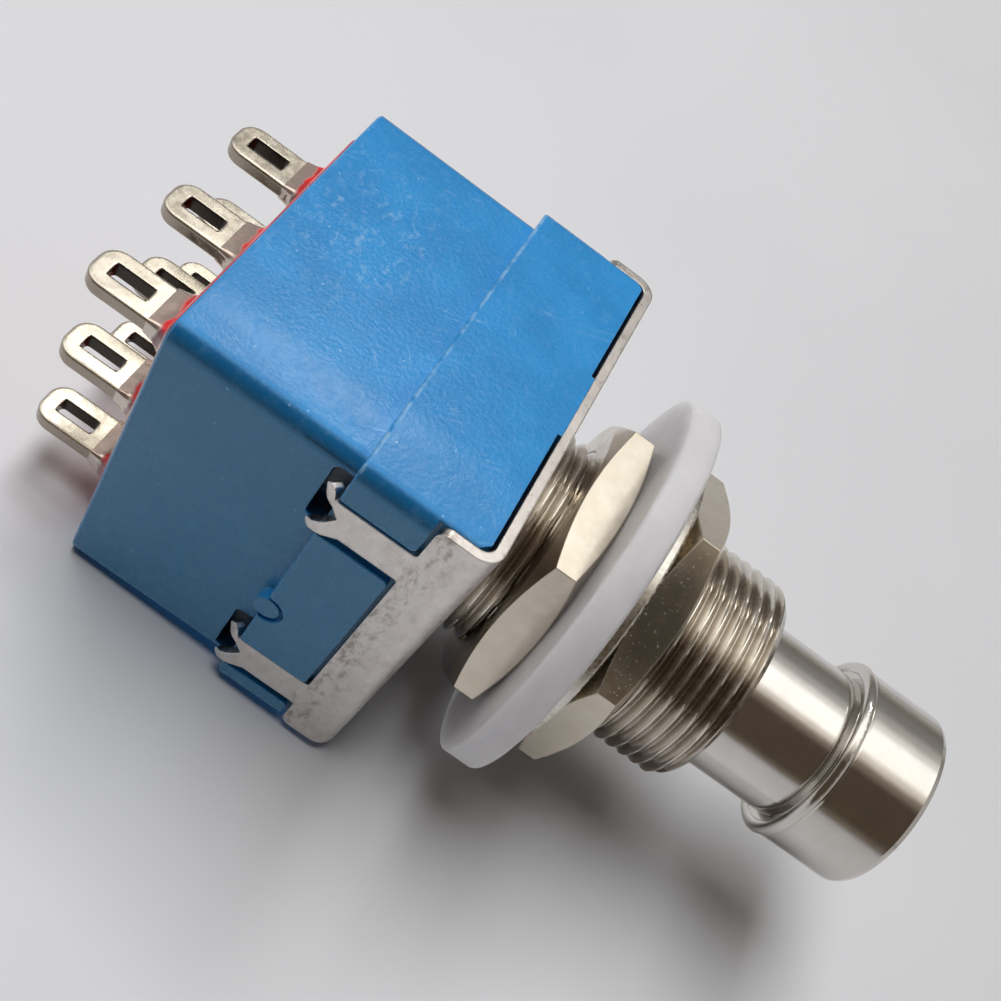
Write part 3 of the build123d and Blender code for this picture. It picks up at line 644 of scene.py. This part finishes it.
def dress(pieces):
    """Gives each CAD node and new piece the material of its slot."""
    made = {
        "blue_plastic": blue_plastic(),
        "plated_sheet": sheet_metal(),
        "board_laminate": laminate(),
        "red_resin": resin(),
        "guide_plastic": plain_plastic("guide_plastic", (0.02, 0.02, 0.022), (0.045, 0.045, 0.05), 0.5),
        "plated_thread": thread_metal(),
        "plated_nut": nut_metal(),
        "nylon": nylon(),
        "washer_steel": bright_metal("washer_steel", (0.72, 0.69, 0.63), (0.60, 0.56, 0.50), 0.26),
        "polished_shaft": polished("polished_shaft", (0.70, 0.67, 0.635), 0.10),
        "polished_cap": polished("polished_cap", (0.68, 0.65, 0.61), 0.08),
        "spring_wire": bright_metal("spring_wire", (0.55, 0.54, 0.53), (0.38, 0.37, 0.36), 0.3),
        "clip_steel": bright_metal("clip_steel", (0.42, 0.41, 0.40), (0.28, 0.27, 0.27), 0.35),
        "pawl_metal": bright_metal("pawl_metal", (0.62, 0.58, 0.50), (0.48, 0.43, 0.35), 0.35),
        "pin_steel": bright_metal("pin_steel", (0.60, 0.60, 0.60), (0.48, 0.48, 0.48), 0.25),
        "cradle_plastic": plain_plastic("cradle_plastic", (0.62, 0.60, 0.55), (0.70, 0.68, 0.63), 0.45),
        "presser_metal": bright_metal("presser_metal", (0.70, 0.56, 0.30), (0.58, 0.44, 0.22), 0.28),
        "contact_copper": bright_metal("contact_copper", (0.78, 0.74, 0.68), (0.62, 0.56, 0.48), 0.3),
        "silver_lug": lug_metal(),
    }
    slot_of = {part["node"]: part["material_slot"] for part in frame["record"]["subparts"]}
    for name, node in frame["nodes"].items():
        node.data.materials.clear()
        node.data.materials.append(made[slot_of[name]])
    for piece in pieces:
        piece.data.materials.append(made[piece["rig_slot"]])


# ---------------------------------------------------------------- table, lamps and world

TABLE_TILT = math.radians(4.51)    # the case's rear edge and the washer's rim both touch the table
TABLE_Y = 9.3 * MM                 # where it meets the case's rear edge
TABLE_SIZE = 1.2


def make_table():
    """The pale table top under the switch's +Y side, clear from behind and to the lamp behind it."""
    low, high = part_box("housing")
    touch = Vector((0, TABLE_Y, low.z))
    along = Vector((0, math.sin(TABLE_TILT), math.cos(TABLE_TILT)))
    across = Vector((1, 0, 0))
    half = TABLE_SIZE / 2
    signs = ((-1, -1), (-1, 1), (1, 1), (1, -1))
    corners = [touch + across * half * i + along * half * j for i, j in signs]
    table = new_piece("table", [tuple(c) for c in corners], [(3, 2, 1, 0)])
    look = Look("table_top", 0.55)
    tone = look.span(look.noise(0.03, 2), 0.3, 0.7)
    look.put("Base Color", look.blend(tone, (0.665, 0.672, 0.692), (0.688, 0.695, 0.715)))
    look.put("Normal", look.bump(look.noise(2.5, 3), 0.02, 0.25))
    through = look.add("ShaderNodeBsdfTransparent")
    either = look.add("ShaderNodeMixShader")
    behind = look.add("ShaderNodeNewGeometry").outputs["Backfacing"]
    shadow = look.add("ShaderNodeLightPath").outputs["Is Shadow Ray"]
    look.put(0, look.math("MAXIMUM", behind, shadow), either)
    look.put(1, look.shader.outputs["BSDF"], either)
    look.put(2, through.outputs["BSDF"], either)
    look.put("Surface", either.outputs["Shader"], look.tree.nodes["Material Output"])
    table.data.materials.append(look.material)


LAMP_FAR = 0.42           # metres from the frame's origin
LAMP_COLOUR = (0.975, 0.985, 1.0)
# azimuth from +X and lift towards +Z in degrees, width across the bushing and length along it in
# metres, watts. The table's normal is at azimuth -90.
LAMPS = {
    "soft_lamp": (-101, -11, 0.40, 0.15, 1.84),
    "back_lamp": (90, 8, 0.36, 0.30, 0.5),      # lights only the side that lies on the table
}


def aim(azimuth, lift):
    """A unit vector from an angle about Z and an angle towards +Z, in degrees."""
    a, e = math.radians(azimuth), math.radians(lift)
    return Vector((math.cos(e) * math.cos(a), math.cos(e) * math.sin(a), math.sin(e)))


def make_lamps():
    """A broad soft lamp over the table, like a window, and one for the views from behind."""
    for name, (azimuth, lift, wide, long, watts) in LAMPS.items():
        light = bpy.data.lights.new(name, "AREA")
        light.shape = "RECTANGLE"
        light.size = wide
        light.size_y = long
        light.energy = watts
        light.color = LAMP_COLOUR
        lamp = bpy.data.objects.new(name, light)
        bpy.context.scene.collection.objects.link(lamp)
        out = aim(azimuth, lift)
        side = Vector((0, 0, 1)).cross(out).normalized()
        lamp.location = out * LAMP_FAR
        lamp.rotation_mode = "QUATERNION"
        lamp.rotation_quaternion = Matrix((side, out.cross(side), out)).transposed().to_quaternion()
        lamp.visible_camera = False
        lamp.visible_glossy = False


BACKDROP = (0.70, 0.70, 0.71)
# how bright the room is round the bushing's axis: (degrees from +X, colour)
ROOM = [
    (-180, (0.40, 0.38, 0.35)), (-165, (0.21, 0.195, 0.18)), (-146, (0.26, 0.25, 0.24)),
    (-130, (0.52, 0.51, 0.49)), (-118, (1.0, 1.0, 0.98)), (-109, (1.60, 1.60, 1.57)),
    (-86, (1.60, 1.58, 1.50)), (-77, (0.90, 0.84, 0.76)), (-67, (0.24, 0.20, 0.16)),
    (-57, (0.085, 0.065, 0.05)), (-8, (0.085, 0.065, 0.045)), (4, (0.20, 0.17, 0.14)),
    (14, (0.5, 0.48, 0.45)), (180, (0.5, 0.48, 0.45))]
POLE_TONE = (0.45, 0.44, 0.42)     # the room ahead of the button and behind the lugs
POLE_FROM = (0.70, 0.97)           # the share of Z in a direction where it starts, and is full
GLOW_AT = (-125, -4)               # a brighter spot that the rear of the switch mirrors
GLOW_INNER = 1                     # degrees from its middle
GLOW_OUTER = 10
GLOW = (8.5, 8.3, 7.9)
FILL = (0.100, 0.075, 0.056)       # the share of the room's light that matt surfaces get


def make_world():
    """A soft window above the table, a dim room elsewhere, and a plain pale backdrop."""
    world = bpy.data.worlds.new("room")
    bpy.context.scene.world = world
    world.use_nodes = True
    sky = Nodes(world.node_tree, "Background")
    towards = sky.add("ShaderNodeTexCoord").outputs["Generated"]
    parts = sky.add("ShaderNodeSeparateXYZ")
    sky.put("Vector", towards, parts)
    turn = sky.math("ARCTAN2", parts.outputs["Y"], parts.outputs["X"])
    ramp = sky.add("ShaderNodeValToRGB")
    sky.put("Fac", sky.math("ADD", sky.math("DIVIDE", turn, 2 * math.pi), 0.5), ramp)
    ramp.color_ramp.interpolation = "EASE"
    stops = ramp.color_ramp.elements
    while len(stops) > 1:
        stops.remove(stops[-1])
    for number, (degrees, colour) in enumerate(ROOM):
        position = (degrees + 180) / 360
        stop = stops[0] if number == 0 else stops.new(position)
        stop.position = position
        stop.color = (*colour, 1)
    pole = sky.span(sky.math("ABSOLUTE", parts.outputs["Z"]), *POLE_FROM)
    room = sky.blend(pole, ramp.outputs["Color"], POLE_TONE)
    near = sky.add("ShaderNodeVectorMath", operation="DOT_PRODUCT")
    sky.put(0, towards, near)
    sky.put(1, tuple(aim(*GLOW_AT)), near)
    outer, inner = math.cos(math.radians(GLOW_OUTER)), math.cos(math.radians(GLOW_INNER))
    glow = sky.math("POWER", sky.span(near.outputs["Value"], outer, inner), 2)
    rays = sky.add("ShaderNodeLightPath")
    fill = sky.add("ShaderNodeMix", data_type="RGBA", blend_type="MULTIPLY")
    sky.put(0, rays.outputs["Is Diffuse Ray"], fill)
    sky.put(6, sky.blend(glow, room, GLOW), fill)
    sky.put(7, FILL, fill)
    sky.put("Color", sky.blend(rays.outputs["Is Camera Ray"], fill.outputs[2], BACKDROP))
    sky.put("Strength", 1.0)


# ---------------------------------------------------------------- all together

make_camera()
new_pieces = [make_bushing(), make_return_spring()]
dress(new_pieces)
make_table()
make_lamps()
make_world()
bpy.context.scene.view_settings.view_transform = "Standard"
